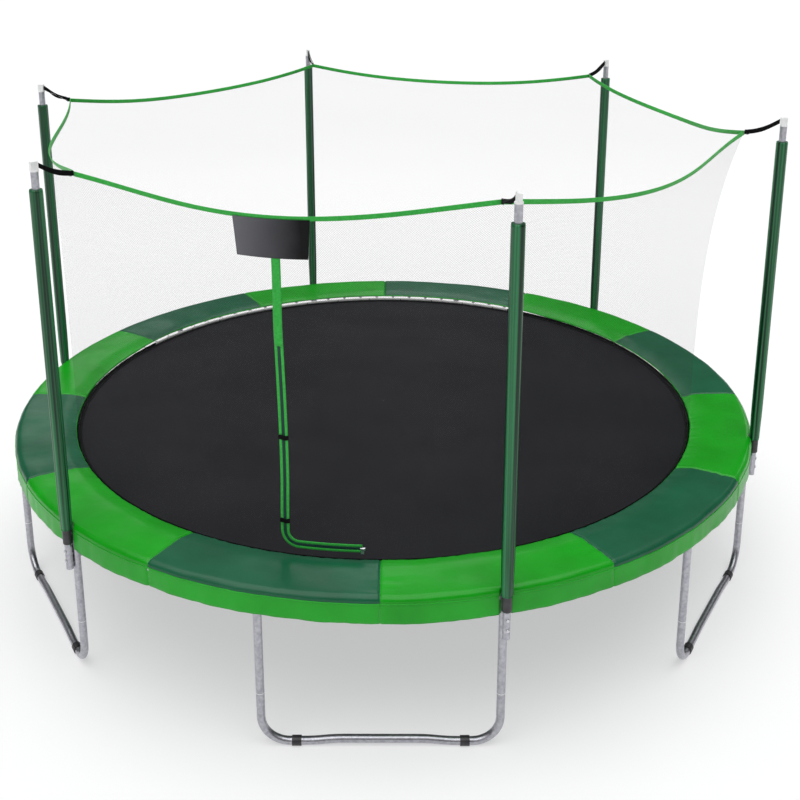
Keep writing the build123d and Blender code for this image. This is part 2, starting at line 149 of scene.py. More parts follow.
FLOOR_REACH = 90.0
SKY_DIM_BELOW, SKY_DIM = 0.42, 0.09
SUNS = (  # (name, way it shines, strength, spread in degrees)
    ("overhead", (0.05, 0.12, -1), 1.65, 75),
    ("front_left", (0.6, 0.9, -0.8), 0.4, 40),
)
SOFTBOXES = (  # (name, place, aim, width, height, watts)
    ("back_left", (-4.5, 9.0, 5.0), (-0.8, 0, 0.8), 3.0, 1.6, 24),
    ("back_middle", (0.6, 10.0, 5.4), (0.2, 0.3, 0.8), 2.2, 1.4, 18),
    ("back_high", (-0.2, 9.0, 7.3), (1.0, 0.5, 0.8), 3.2, 1.3, 28),
    ("back_right", (7.5, 7.5, 4.5), (1.5, 0.8, 0.8), 2.6, 1.6, 30),
)


# ---- small helpers --------------------------------------------------------
def polar(radius, degrees, z):
    turn = math.radians(degrees)
    return Vector((radius * math.cos(turn), radius * math.sin(turn), z))


def on_circle(degrees):
    turn = math.radians(degrees)
    return math.cos(turn), math.sin(turn)


def steps(first, last, count):
    return [first + (last - first) * k / count for k in range(count + 1)]


def smooth(t):
    t = min(max(t, 0.0), 1.0)
    return t * t * (3 - 2 * t)


def mesh_piece(name, points, faces, material):
    mesh = bpy.data.meshes.new(name)
    mesh.from_pydata([tuple(p) for p in points], [], faces)
    mesh.update()
    piece = bpy.data.objects.new(name, mesh)
    bpy.context.scene.collection.objects.link(piece)
    mesh.materials.append(material)
    mesh.polygons.foreach_set("use_smooth", [True] * len(mesh.polygons))
    return piece


def grid_faces(rows, cols, around=False):
    """Quads between rows of points; around joins the last column to the first."""
    faces = []
    for i in range(rows - 1):
        for j in range(cols if around else cols - 1):
            k = (j + 1) % cols
            faces.append((i * cols + j, i * cols + k, (i + 1) * cols + k, (i + 1) * cols + j))
    return faces


def joined(parts):
    """One set of points and faces out of several."""
    points, faces = [], []
    for part_points, part_faces in parts:
        base = len(points)
        points += part_points
        faces += [tuple(base + v for v in face) for face in part_faces]
    return points, faces


def thicken(piece, thickness):
    """Gives an open sheet two faces, half the thickness to each side."""
    solid = piece.modifiers.new("thickness", "SOLIDIFY")
    solid.thickness = thickness
    solid.offset = 0
    apply_modifiers(piece)


def apply_modifiers(piece):
    graph = bpy.context.evaluated_depsgraph_get()
    piece_mesh = bpy.data.meshes.new_from_object(piece.evaluated_get(graph))
    piece.modifiers.clear()
    piece.data = piece_mesh


def dip(piece):
    """Bakes the placement of a piece of the mat, its springs or its hem into its points."""
    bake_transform(piece)


# ---- materials ------------------------------------------------------------
class Shader:
    """A material with a Principled shader and the nodes that drive it."""

    def __init__(self, name, colour, roughness, **sockets):
        self.material = bpy.data.materials.new(name)
        self.material.use_nodes = True
        self.tree = self.material.node_tree
        self.shader = self.tree.nodes["Principled BSDF"]
        self.shader.inputs["Base Color"].default_value = (*colour, 1)
        self.shader.inputs["Roughness"].default_value = roughness
        for socket, value in sockets.items():
            self.shader.inputs[socket.replace("_", " ")].default_value = value
        self.place = self.tree.nodes.new("ShaderNodeTexCoord").outputs["Object"]
        self.height = None

    def node(self, kind, **inputs):
        found = self.tree.nodes.new("ShaderNode" + kind)
        for key, value in inputs.items():
            socket = found.inputs[key.replace("_", " ")]
            if isinstance(value, bpy.types.NodeSocket):
                self.tree.links.new(value, socket)
            else:
                socket.default_value = value
        return found

    def stretched(self, x, y, z):
        found = self.node("Mapping", Scale=(x, y, z))
        self.tree.links.new(self.place, found.inputs["Vector"])
        return found.outputs["Vector"]

    def noise(self, scale, detail=3.0, source=None):
        found = self.node("TexNoise", Scale=scale, Detail=detail)
        self.tree.links.new(source or self.place, found.inputs["Vector"])
        return found.outputs["Fac"]

    def wave(self, scale, direction):
        found = self.node("TexWave", Scale=scale, Distortion=0.0)
        found.bands_direction = direction
        self.tree.links.new(self.place, found.inputs["Vector"])
        return found.outputs["Fac"]

    def math(self, operation, a, b=0.0):
        found = self.tree.nodes.new("ShaderNodeMath")
        found.operation = operation
        for socket, value in zip(found.inputs, (a, b)):
            if isinstance(value, bpy.types.NodeSocket):
                self.tree.links.new(value, socket)
            else:
                socket.default_value = value
        return found.outputs[0]

    def ramp(self, source, low, high, first=0.0, last=1.0):
        found = self.node("MapRange", From_Min=first, From_Max=last, To_Min=low, To_Max=high)
        self.tree.links.new(source, found.inputs["Value"])
        return found.outputs["Result"]

    def tint(self, source, dark, light, first=0.3, last=0.7):
        found = self.tree.nodes.new("ShaderNodeValToRGB")
        found.color_ramp.elements[0].position = first
        found.color_ramp.elements[1].position = last
        found.color_ramp.elements[0].color = (*dark, 1)
        found.color_ramp.elements[1].color = (*light, 1)
        self.tree.links.new(source, found.inputs["Fac"])
        self.tree.links.new(found.outputs["Color"], self.shader.inputs["Base Color"])

    def rough(self, source, low, high):
        self.tree.links.new(self.ramp(source, low, high), self.shader.inputs["Roughness"])

    def bump(self, source, strength, distance):
        found = self.node("Bump", Strength=strength, Distance=distance)
        self.tree.links.new(source, found.inputs["Height"])
        if self.height is not None:
            self.tree.links.new(self.height, found.inputs["Normal"])
        self.height = found.outputs["Normal"]
        self.tree.links.new(self.height, self.shader.inputs["Normal"])

    def weave(self, threads, strength, distance):
        """Plain weave: two sets of fine ribs across each other."""
        across = self.wave(threads, "X")
        along = self.wave(threads, "Y")
        self.bump(self.math("MULTIPLY", across, along), strength, distance)


def galvanised():
    s = Shader("galvanised_steel", (0.42, 0.42, 0.45), 0.3, Metallic=0.9)
    patches = s.noise(60, 4)
    s.tint(patches, (0.33, 0.33, 0.37), (0.50, 0.50, 0.54))
    s.rough(s.noise(140, 3), 0.22, 0.42)
    s.bump(s.noise(400, 2), 0.06, 0.0005)
    return s.material


def zinc():
    s = Shader("zinc_plate", (0.62, 0.62, 0.64), 0.25, Metallic=1.0)
    s.tint(s.noise(250, 3), (0.5, 0.5, 0.53), (0.68, 0.68, 0.70))
    s.rough(s.noise(500, 2), 0.18, 0.38)
    return s.material


def vinyl(name, dark, light, roughness=0.3):
    """Glossy PVC-coated cloth: soft cloudiness, a fine grain and shallow creases."""
    s = Shader(name, light, roughness, Coat_Weight=0.08, Coat_Roughness=0.15, Specular_IOR_Level=0.28)
    s.tint(s.noise(3.5, 3), dark, light)
    s.rough(s.noise(9, 3), roughness - 0.06, roughness + 0.12)
    s.bump(s.noise(11, 2), 0.2, 0.008)
    s.bump(s.noise(900, 2), 0.05, 0.0004)
    return s.material


def mat_cloth():
    s = Shader("mat_polypropylene", (0.010, 0.010, 0.012), 0.55, Specular_IOR_Level=0.14)
    s.tint(s.noise(1.3, 4), (0.004, 0.004, 0.006), (0.010, 0.0095, 0.013))
    s.rough(s.noise(1.1, 3), 0.40, 0.66)
    s.weave(220, 0.25, 0.0006)
    s.bump(s.noise(2.2, 2), 0.12, 0.02)
    return s.material


def webbing(name, dark, light, roughness=0.6, ribs=160, sheen=0.2):
    s = Shader(name, light, roughness, Sheen_Weight=sheen, Sheen_Roughness=0.4, Specular_IOR_Level=sheen)
    s.tint(s.noise(90, 3), dark, light)
    s.bump(s.math("MULTIPLY", s.wave(ribs, "Z"), s.wave(ribs, "X")), 0.35, 0.0008)
    s.rough(s.noise(300, 2), roughness - 0.1, roughness + 0.1)
    return s.material


def plastic(name, dark, light, roughness, **sockets):
    s = Shader(name, light, roughness, **sockets)
    s.tint(s.noise(40, 3), dark, light)
    s.rough(s.noise(160, 3), roughness - 0.06, roughness + 0.1)
    s.bump(s.noise(700, 2), 0.08, 0.0003)
    return s.material


def foam_cover():
    """Tight shiny sleeve with long lengthwise creases; its colour has painted shade in their hollows and
    painted highlight stripes along their ridges.
    """
    s = Shader("foam_cover", (0.008, 0.08, 0.03), 0.3, Specular_IOR_Level=0.35)
    creases = s.noise(64, 1, s.stretched(1.0, 1.0, 0.006))
    # painted shade in the creases' hollows and painted highlight stripes along their ridges, following the
    # crease relief
    s.tint(creases, (0.002, 0.022, 0.009), (0.030, 0.210, 0.080), 0.36, 0.64)
    s.bump(creases, 0.8, 0.012)
    s.bump(s.noise(500, 2), 0.04, 0.0004)
    s.rough(creases, 0.24, 0.42)
    return s.material


def netting():
    """Fine knitted mesh: thin slanting threads round the net, crossing, with open holes between them."""
    s = Shader("netting", (0.05, 0.05, 0.055), 0.8, Specular_IOR_Level=0.2)
    split = s.node("SeparateXYZ", Vector=s.place)
    turn = s.math("ARCTAN2", split.outputs["Y"], split.outputs["X"])
    around = s.math("MULTIPLY", turn, NET_MESHES)
    up = s.math("MULTIPLY", split.outputs["Z"], NET_MESHES / NET_MID_R)
    rising = s.math("SINE", s.math("ADD", around, up))
    falling = s.math("SINE", s.math("SUBTRACT", around, up))
    cover = s.ramp(s.math("MAXIMUM", rising, falling), 0.0, 0.23, 0.45, 1.0)
    s.tree.links.new(cover, s.shader.inputs["Alpha"])
    s.tint(s.noise(12, 2), (0.035, 0.035, 0.04), (0.07, 0.07, 0.075))
    return s.material


def zipper_coil():
    s = Shader("zipper_coil", (0.006, 0.045, 0.040), 0.4)
    # painted shade: the colour follows the teeth's relief, darker in the grooves between the teeth
    s.tint(s.wave(330, "Z"), (0.003, 0.02, 0.018), (0.012, 0.075, 0.065))
    s.bump(s.wave(330, "Z"), 0.6, 0.0012)
    return s.material


def banner_cloth():
    """Printed cloth that runs from charcoal grey at one end to black at the other."""
    s = Shader("banner_cloth", (0.03, 0.03, 0.035), 0.55, Specular_IOR_Level=0.15)
    split = s.node("SeparateXYZ", Vector=s.place)
    end_a = polar(NET_MID_R, LABEL_FROM, 0).x
    end_b = polar(NET_MID_R, LABEL_TO, 0).x
    across = s.ramp(split.outputs["X"], 0.0, 1.0, end_a, end_b)
    cloudy = s.math("ADD", across, s.math("MULTIPLY", s.noise(9, 3), 0.12))
    s.tint(cloudy, (0.150, 0.150, 0.168), (0.005, 0.005, 0.006), 0.05, 0.95)
    s.bump(s.math("MULTIPLY", s.wave(300, "X"), s.wave(300, "Z")), 0.3, 0.0005)
    return s.material


STEEL = galvanised()
ZINC = zinc()
BRIGHT = vinyl("bright_green_vinyl", (0.002, 0.27, 0.003), (0.003, 0.34, 0.006), 0.3)
# a lighter copy of the bright green for the pad's upright faces and piping: painted light for the light that
# falls less on upright faces
BRIGHT_SIDE_PAINTED_LIGHTER = vinyl("bright_green_skirt_painted_lighter", (0.003, 0.30, 0.006), (0.008, 0.40, 0.014), 0.36)
DARK = vinyl("dark_green_vinyl", (0.003, 0.080, 0.034), (0.006, 0.108, 0.047), 0.3)
MAT_CLOTH = mat_cloth()
BLACK_WEBBING = webbing("black_webbing", (0.003, 0.003, 0.0035), (0.009, 0.009, 0.010), 0.65,
                        sheen=0.05)
GREEN_WEBBING = webbing("green_webbing", (0.030, 0.38, 0.050), (0.048, 0.50, 0.074), 0.6)
# white binding at the back only: painted light standing in for the bright floor seen through the gap under
# the pad
PAINTED_GAP_LIGHT_HEM = webbing("painted_gap_light_binding", (0.70, 0.71, 0.70), (0.86, 0.86, 0.85), 0.7)
BLACK_PLASTIC = plastic("black_plastic", (0.020, 0.019, 0.022), (0.040, 0.038, 0.043), 0.4)
WHITE_PLASTIC = plastic("white_plastic", (0.86, 0.87, 0.87), (0.95, 0.95, 0.95), 0.35)
FOAM_COVER = foam_cover()
NETTING = netting()
COIL = zipper_coil()
BANNER = banner_cloth()

CAD_FINISH = {
    "top_rails": STEEL, "leg_base": STEEL, "leg_posts": STEEL, "pole_upper": STEEL, "pole_lowers": STEEL,
    "t_sockets": STEEL, "joint_rings": WHITE_PLASTIC, "foot_bands": BLACK_PLASTIC,
    "sleeve_end_caps": BLACK_PLASTIC, "pole_caps": WHITE_PLASTIC, "pole_spacers": BLACK_PLASTIC,
    "pole_bolts": ZINC, "pole_nuts": ZINC, "corner_rings": ZINC, "mat_hem": BLACK_WEBBING, "mat": MAT_CLOTH,
    "v_rings": ZINC, "zipper_slider": ZINC, "zipper_pull": ZINC,
}


def finish_cad():
    """Gives each CAD node that stays visible its material."""
    for name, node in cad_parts.items():
        for start, material in CAD_FINISH.items():
            if name == start or name.rstrip("0123456789").rstrip("_") == start:
                for held in node.material_slots:
                    held.material = material


# ---- safety pad -----------------------------------------------------------
def pole_near(degrees):
    """Signed angle to the nearest pole."""
    return (degrees - POLE_START + POLE_STEP / 2) % POLE_STEP - POLE_STEP / 2


def notch_limit(degrees):
    """How far out the pad may reach beside a pole, whose sleeve presses into its edge."""
    across = POLE_R * math.radians(pole_near(degrees))
    if abs(across) >= NOTCH_HALF:
        return math.inf
    return POLE_R - math.sqrt(NOTCH_HALF**2 - across**2)


def pad_profile():
    """Points round the pad's section as (radius, height, side); side is 1 on the upright faces.

    They run from under the inner edge over the top to the skirt's hem.
    """
    points = []
    points.append((PAD_IN + 0.03, PAD_UNDER + 0.001, 1))
    points.append((PAD_IN + 0.006, PAD_UNDER + 0.001, 1))
    points.append((PAD_IN, PAD_UNDER + 0.006, 1))
    points.append((PAD_IN, PAD_TOP - 0.016, 1))
    for turn in steps(0, 90, 4):
        c, s = on_circle(turn)
        side = 1 if turn < 60 else 0
        points.append((PAD_IN + PAD_INNER_ROUND * (1 - c), PAD_TOP - PAD_INNER_ROUND * (1 - s), side))
    for radius in steps(PAD_IN + 0.03, PAD_OUT - PAD_ROUND - 0.01, 16):
        points.append((radius, PAD_TOP, 0))
    for turn in steps(90, 0, 7):
        c, s = on_circle(turn)
        points.append((PAD_OUT - PAD_ROUND * (1 - c), PAD_TOP - PAD_ROUND * (1 - s), 0))
    points.append((PAD_OUT, PIPING_Z + 0.0005, 0))
    for z in steps(PIPING_Z, SKIRT_BOTTOM, 8):
        points.append((PAD_OUT, z, 1))
    points.append((PAD_OUT - 0.002, SKIRT_BOTTOM - 0.0005, 1))
    points.append((PAD_OUT - 0.004, SKIRT_BOTTOM + 0.002, 1))
    return points


def pad_droop(radius, degrees):
    """How far the pad's inner edge hangs: closed onto the mat all round, but lifted at the back."""
    across = (radius - PAD_IN) / (PAD_OUT - PAD_IN)
    lifted = smooth((degrees - 48) / 14) * smooth((160 - degrees) / 14)
    return PAD_DROOP * (1 - lifted) * math.exp(-((across / 0.22) ** 2))


def pad_offset(radius, z, degrees, along):
    """Crown, seam dips and wrinkles; along is 0 at one seam of the segment and 1 at the other."""
    across = (radius - PAD_IN) / (PAD_OUT - PAD_IN)
    edge = min(along, 1 - along) * SEGMENT * math.radians(1) * radius
    lift = 0.0
    share = min(max((z - PAD_TOP + PAD_FADE) / PAD_FADE, 0.0), 1.0)
    if share > 0:
        crown = 1 - (2 * across - 1) ** 4
        seam = math.exp(-(edge / 0.006) ** 2)
        pucker = math.exp(-edge / 0.07) * noise.noise(Vector((radius * 34, degrees * 0.12, 3.0)))
        broad = noise.noise(polar(radius, degrees, 0) * 5.0)
        pulls = math.exp(-across / 0.10) * noise.noise(Vector((degrees * 1.1, across * 2, 8.0)))
        lift = -0.007 + PAD_CROWN * crown - SEAM_DEPTH * seam + PUCKER_HEIGHT * pucker
        lift += WAVE_HEIGHT * broad
        lift += PULL_HEIGHT * pulls
        lift -= 0.006 * math.exp(-across / 0.12)
    return lift * share


def skirt_offset(z, degrees, along):
    """Sideways play of the hanging skirt: waves that grow towards its hem, and a nip at each seam."""
    hang = min(max((PAD_TOP - z) / (PAD_TOP - SKIRT_BOTTOM), 0.0), 1.0)
    edge = min(along, 1 - along) * SEGMENT * math.radians(1) * PAD_OUT
    seam = math.exp(-(edge / 0.007) ** 2)
    broad = noise.noise(Vector((degrees * 0.23, z * 3.0, 7.0)))
    fine = noise.noise(Vector((degrees * 0.9, z * 6.0, 1.0)))
    waves = broad + 0.4 * fine
    return -0.004 + 0.007 * waves * (0.3 + hang) - 0.004 * seam + 0.004 * hang


def spaced(values, gap):
    """The values in order, without those that nearly repeat the one before."""
    kept = []
    for value in sorted(values):
        if not kept or value - kept[-1] > gap:
            kept.append(value)
    return kept


def pad_angles(start):
    """Angles across one segment of the pad: closer together at its seams and beside a pole."""
    gap = 0.002
    even = steps(start + gap, start + SEGMENT - gap, 72)
    dense = [start + gap + k * 0.08 for k in range(1, 10)]
    wanted = even + dense + [2 * start + SEGMENT - a for a in dense]
    for k in range(POLE_COUNT):
        pole = POLE_START + k * POLE_STEP
        if start < pole < start + SEGMENT:
            wanted += [pole + step * 0.1 for step in range(-11, 12)]
    return spaced(wanted, 0.02)


def pad_segment(index):
    """A twelfth of the safety pad with the skirt that hangs from it; the top is in the segment's own green,
    the upright faces in a lighter copy of the bright green as painted light.
    """
    start = SEAM_START + index * SEGMENT
    profile = pad_profile()
    angles = pad_angles(start)
    points = []
    for radius, z, _ in profile:
        for degrees in angles:
            along = (degrees - start) / SEGMENT
            r = radius
            height = z + pad_offset(radius, z, degrees, along) - pad_droop(radius, degrees)
            if radius > PAD_OUT - PAD_ROUND:
                r += skirt_offset(z, degrees, along) * smooth((radius - PAD_OUT + PAD_ROUND) / PAD_ROUND)
            elif radius < PAD_IN + 0.012:
                r += 0.0025 * noise.noise(Vector((degrees * 0.35, z * 8, 2.0)))
            points.append(polar(min(r, notch_limit(degrees)), degrees, height))
    bright = index % 2 == 0
    piece = mesh_piece(f"pad_segment_{index + 1}", points, grid_faces(len(profile), len(angles)),
                       BRIGHT if bright else DARK)
    piece.data.materials.append(BRIGHT_SIDE_PAINTED_LIGHTER)
    # the upright faces take the lighter copy of the bright green: painted light
    count = len(angles) - 1
    for face in piece.data.polygons:
        row = face.index // count
        if profile[row][2] and profile[row + 1][2]:
            face.material_index = 1
    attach(piece, "frame")
    return piece


def pad_piping(index):
    """Thin welt sewn where the pad's top cover meets the hanging skirt."""
    start = SEAM_START + index * SEGMENT
    angles = steps(start, start + SEGMENT, 120)
    ring = 8
    points = []
    for degrees in angles:
        along = (degrees - start) / SEGMENT
        centre_r = min(PAD_OUT + skirt_offset(PIPING_Z, degrees, along), notch_limit(degrees) - 0.002)
        centre_z = PIPING_Z + 0.001 * noise.noise(Vector((degrees * 0.5, 0, 5.0)))
        for turn in steps(0, 360, ring)[:-1]:
            c, s = on_circle(turn)
            points.append(polar(centre_r + PIPING_R * c, degrees, centre_z + PIPING_R * s))
    # the piping takes the lighter copy of the bright green too: painted light
    piece = mesh_piece(f"pad_piping_{index + 1}", points, grid_faces(len(angles), ring, True),
                       BRIGHT_SIDE_PAINTED_LIGHTER)
    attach(piece, "frame")
    return piece


# ---- mat and springs ------------------------------------------------------
def mat_sector(index):
    """A twelfth of the jumping mat."""
    start = SEAM_START + index * SEGMENT
    angles = steps(start, start + SEGMENT, 24)
    radii = steps(0.0, 1.0, 40)
    points = []
    for share in radii:
        radius = 0.002 + (MAT_R - 0.002) * share
        for degrees in angles:
            spot = polar(radius, degrees, 0)
            swell = 0.0016 * noise.noise(spot * 1.4)
            points.append(polar(radius, degrees, MAT_TOP - 0.0022 + min(swell, 0.0015)))
    piece = mesh_piece(f"mat_sector_{index + 1}", points, grid_faces(len(radii), len(angles)),
                       MAT_CLOTH)
    dip(piece)
    return piece


def mat_edge(index):
    """The hem sewn round the mat's edge, with its two rows of stitching standing proud."""
    start = SEAM_START + index * SEGMENT
    angles = steps(start, start + SEGMENT, 60)
    section = [(-0.045, -0.0004), (-0.044, 0.0012), (-0.040, 0.0014), (-0.038, 0.0010), (-0.036, 0.0015),
               (-0.010, 0.0015), (-0.008, 0.0010), (-0.006, 0.0015), (-0.001, 0.0013), (0.0, -0.0015)]
    points = [polar(MAT_R + r, a, MAT_TOP + z) for r, z in section for a in angles]
    piece = mesh_piece(f"mat_hem_{index + 1}", points, grid_faces(len(section), len(angles)),
                       BLACK_WEBBING)
    dip(piece)
    return piece


def coil_profile(length, radius, turns):
    """Outline of a closed coil: the wires' rounded backs side by side."""
    wire = length / turns
    points = [(-length / 2, radius * 0.3)]
    for k in range(turns):
        for share in (0.0, 0.25, 0.5, 0.75):
            bulge = math.sin(math.pi * share) ** 0.6 if share else 0.0
            points.append((-length / 2 + (k + share) * wire, radius - wire * 0.42 * (1 - bulge)))
    points.append((length / 2, radius * 0.3))
    return points


def bent_wire(route, radius, sides=6):
    """Points and faces of a round wire along a list of points."""
    points = []
    for k, spot in enumerate(route):
        ahead = route[min(k + 1, len(route) - 1)] - route[max(k - 1, 0)]
        turn = ahead.to_track_quat("Z", "Y")
        for side in range(sides):
            angle = 2 * math.pi * side / sides
            points.append(spot + turn @ Vector((radius * math.cos(angle), radius * math.sin(angle), 0)))
    return points, grid_faces(len(route), sides, True)


def spring_parts(degrees):
    """Coil, its two hooks and the V-ring of one spring, drawn along local X and turned into place."""
    parts = []
    first = RING_TIP_R + 0.012
    last = RAIL_R - TUBE_R - 0.012
    middle = (first + last) / 2
    height = MAT_TOP - 0.002
    length = last - first - 0.03
    outline = coil_profile(length, COIL_R, COIL_TURNS)
    sides = 10
    coil = []
    for x, radius in outline:
        for side in range(sides):
            angle = 2 * math.pi * side / sides
            coil.append(Vector((middle + x, radius * math.cos(angle), height + radius * math.sin(angle))))
    parts.append((coil, grid_faces(len(outline), sides, True)))
    for sign, tip in ((-1, RING_TIP_R - 0.006), (1, RAIL_R - 0.016)):
        begin = middle + sign * length / 2
        reach = abs(tip - begin)
        route = [Vector((begin - sign * 0.002, 0, height + 0.004))]
        for share, rise in HOOK_SHAPE:
            route.append(Vector((begin + sign * reach * share, 0, height + rise)))
        parts.append(bent_wire(route, 0.0018))
    corners = [Vector((MAT_R - 0.012, -0.019, height)), Vector((RING_TIP_R - 0.010, -0.003, height)),
               Vector((RING_TIP_R - 0.006, 0, height)), Vector((RING_TIP_R - 0.010, 0.003, height)),
               Vector((MAT_R - 0.012, 0.019, height)), Vector((MAT_R - 0.012, -0.019, height))]
    parts.append(bent_wire(corners, 0.0022))
    turned = Matrix.Rotation(math.radians(degrees), 4, "Z")
    return [([turned @ p for p in points], faces) for points, faces in parts]


def spring_sector(index):
    """The springs of one twelfth as one piece."""
    start = SEAM_START + index * SEGMENT
    parts = []
    for k in range(SPRINGS_PER_SECTOR):
        parts += spring_parts(start + (k + 0.5) * SEGMENT / SPRINGS_PER_SECTOR)
    points, faces = joined(parts)
    piece = mesh_piece(f"springs_{index + 1}", points, faces, ZINC)
    dip(piece)
    return piece


# ---- net ------------------------------------------------------------------
def span_place(degrees):
    """Where an angle lies between two poles: -1 at one, 0 halfway, 1 at the next."""
    return ((degrees - POLE_START) % POLE_STEP) / (POLE_STEP / 2) - 1


def net_top(degrees):
    """Radius and height of the net's top edge."""
    place = abs(span_place(degrees))
    radius = NET_MID_R + (NET_CORNER_R - NET_MID_R) * place**NET_PULL
    return radius, NET_MID_Z + (NET_CORNER_Z - NET_MID_Z) * place**2


def net_radius(degrees, z):
    top_r, top_z = net_top(degrees)
    share = max(0.0, (z - NET_BASE_Z) / (top_z - NET_BASE_Z))
    return NET_BASE_R + (top_r - NET_BASE_R) * share**NET_FLARE


def net_point(degrees, z, lift=0.0):
    return polar(net_radius(degrees, z) + lift, degrees, z)


def net_folds(degrees, z):
    """Soft upright folds, strongest halfway up and nothing at the edges."""
    share = (z - NET_BASE_Z) / (NET_MID_Z - NET_BASE_Z)
    hold = math.sin(math.pi * min(max(share, 0.0), 1.0)) * (1 - span_place(degrees) ** 4)
    return 0.006 * hold * noise.noise(Vector((degrees * 0.35, z * 0.6, 4.0)))


def net_panel(index):
    """The net from one pole to the next."""
    start = POLE_START + index * POLE_STEP
    angles = steps(start, start + POLE_STEP, 60)
    rows = steps(0.0, 1.0, 44)
    points = []
    for share in rows:
        for degrees in angles:
            held = min(max(degrees, start + 1e-6), start + POLE_STEP - 1e-6)
            z = NET_BASE_Z + (net_top(held)[1] - NET_BASE_Z) * share
            points.append(net_point(held, z, net_folds(held, z)))
    piece = mesh_piece(f"net_{index + 1}", points, grid_faces(len(rows), len(angles)), NETTING)
    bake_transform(piece)
    return piece


def strip_on(points_of, cols, rows, name, material, thickness):
    """A strip of webbing whose points come from points_of(along, across), both from 0 to 1."""
    points = [points_of(j / (cols - 1), i / (rows - 1)) for i in range(rows) for j in range(cols)]
    piece = mesh_piece(name, points, grid_faces(rows, cols), material)
    thicken(piece, thickness)
    return piece


def top_webbing(index):
    """Webbing along one span's top edge, rolled over a little between the poles."""
    start = POLE_START + index * POLE_STEP

    def spot(along, across):
        degrees = start + 1e-5 + (POLE_STEP - 2e-5) * along
        radius, z = net_top(degrees)
        uneven = 0.6 + 0.4 * noise.noise(Vector((degrees * 0.08, 0, 9.0)))
        roll = 0.9 * (1 - span_place(degrees) ** 2) * uneven
        side = (across - 0.5) * 2 * CORD_HALF
        return polar(radius + side * math.sin(roll) * 0.6 + 0.002, degrees, z + side * math.cos(roll * 0.6))

    piece = strip_on(spot, 90, 7, f"top_webbing_{index + 1}", GREEN_WEBBING, 0.004)
    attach(piece, "frame")
    return piece


def hem_sector(index):
    """Binding along the net's lower edge, black; along the back it is painted white, standing in for the
    bright floor seen through the gap between mat and pad.
    """
    start = SEAM_START + index * SEGMENT
    low, high = hem_low[2] - 0.001, hem_high[2] + 0.001

    def spot(along, across):
        degrees = start + SEGMENT * along
        ripple = 0.0012 * noise.noise(Vector((degrees * 1.5, 0, 6.0)))
        return polar(NET_BASE_R + ripple, degrees, low + (high - low) * across)

    # painted light: white along the back for the bright floor seen through the gap
    pale = PAINTED_GAP_LIGHT_FROM <= start < PAINTED_GAP_LIGHT_TO
    piece = strip_on(spot, 60, 4, f"net_hem_{index + 1}", PAINTED_GAP_LIGHT_HEM if pale else BLACK_WEBBING,
                     0.002)
    dip(piece)
    return piece


def hem_ties(index):
    """Cords that tie the net's hem to the mat's edge, one to every second spring."""
    start = SEAM_START + index * SEGMENT
    parts = []
    for k in range(TIES_PER_SECTOR):
        degrees = start + (k + 0.5) * SEGMENT / TIES_PER_SECTOR
        parts.append(bent_wire([polar(radius, degrees, z) for radius, z in TIE_SHAPE], 0.003))
    points, faces = joined(parts)
    piece = mesh_piece(f"hem_ties_{index + 1}", points, faces, BLACK_WEBBING)
    dip(piece)
    return piece


# ---- door -----------------------------------------------------------------
def zip_route():
    """Middle of the zipper on the unrolled net: (distance round, height) and the side it bends to."""
    left = math.radians(DOOR_DEG) * NET_BASE_R
    right = math.radians(ZIP_END_DEG) * NET_BASE_R
    down = [((left, z), (1.0, 0.0)) for z in steps(ZIP_TOP_Z, ZIP_LOW_Z + ZIP_BEND_R, ZIP_STEPS)]
    bend = []
    for turn in steps(0, 90, 12)[1:]:
        c, s = on_circle(turn)
        bend.append(((left + ZIP_BEND_R * (1 - c), ZIP_LOW_Z + ZIP_BEND_R * (1 - s)), (c, s)))
    across = [((u, ZIP_LOW_Z), (0.0, 1.0)) for u in steps(left + ZIP_BEND_R, right, ZIP_STEPS)[1:]]
    return down + bend + across


def wander(z):
    """The upright zipper isn't quite straight."""
    return 0.006 * math.sin((z - ZIP_LOW_Z) * 3.4) * smooth((z - 1.0) / 0.3) * smooth((2.4 - z) / 0.4)


def zip_strip(name, side_from, side_to, lift, thickness, material):
    """A strip beside the zipper's middle line, from side_from to side_to across it."""
    route = zip_route()

    def spot(along, across):
        (u, z), (nu, nz) = route[round(along * (len(route) - 1))]
        side = side_from + (side_to - side_from) * across
        u, z = u + nu * side + wander(z), z + nz * side
        return net_point(math.degrees(u / NET_BASE_R), z, lift)

    piece = strip_on(spot, len(route), 4, name, material, thickness)
    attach(piece, "frame")
    return piece


def banner_spot(along, across):
    """A point of the banner, which is wider at its top than at its foot and billows a little."""
    inset = LABEL_INSET * across
    degrees = LABEL_FROM + inset + (LABEL_TO - LABEL_FROM - 2 * inset) * along
    z = net_top(degrees)[1] - 0.006 - LABEL_DROP * across
    billow = 0.004 * math.sin(math.pi * along) * math.sin(math.pi * across)
    return net_point(degrees, z, 0.006 + billow)


def banner():
    """A blank banner that hangs from the top webbing beside the door."""
    piece = strip_on(banner_spot, 32, 20, "banner", BANNER, 0.0015)
    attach(piece, "frame")
    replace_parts(piece, "label_banner")


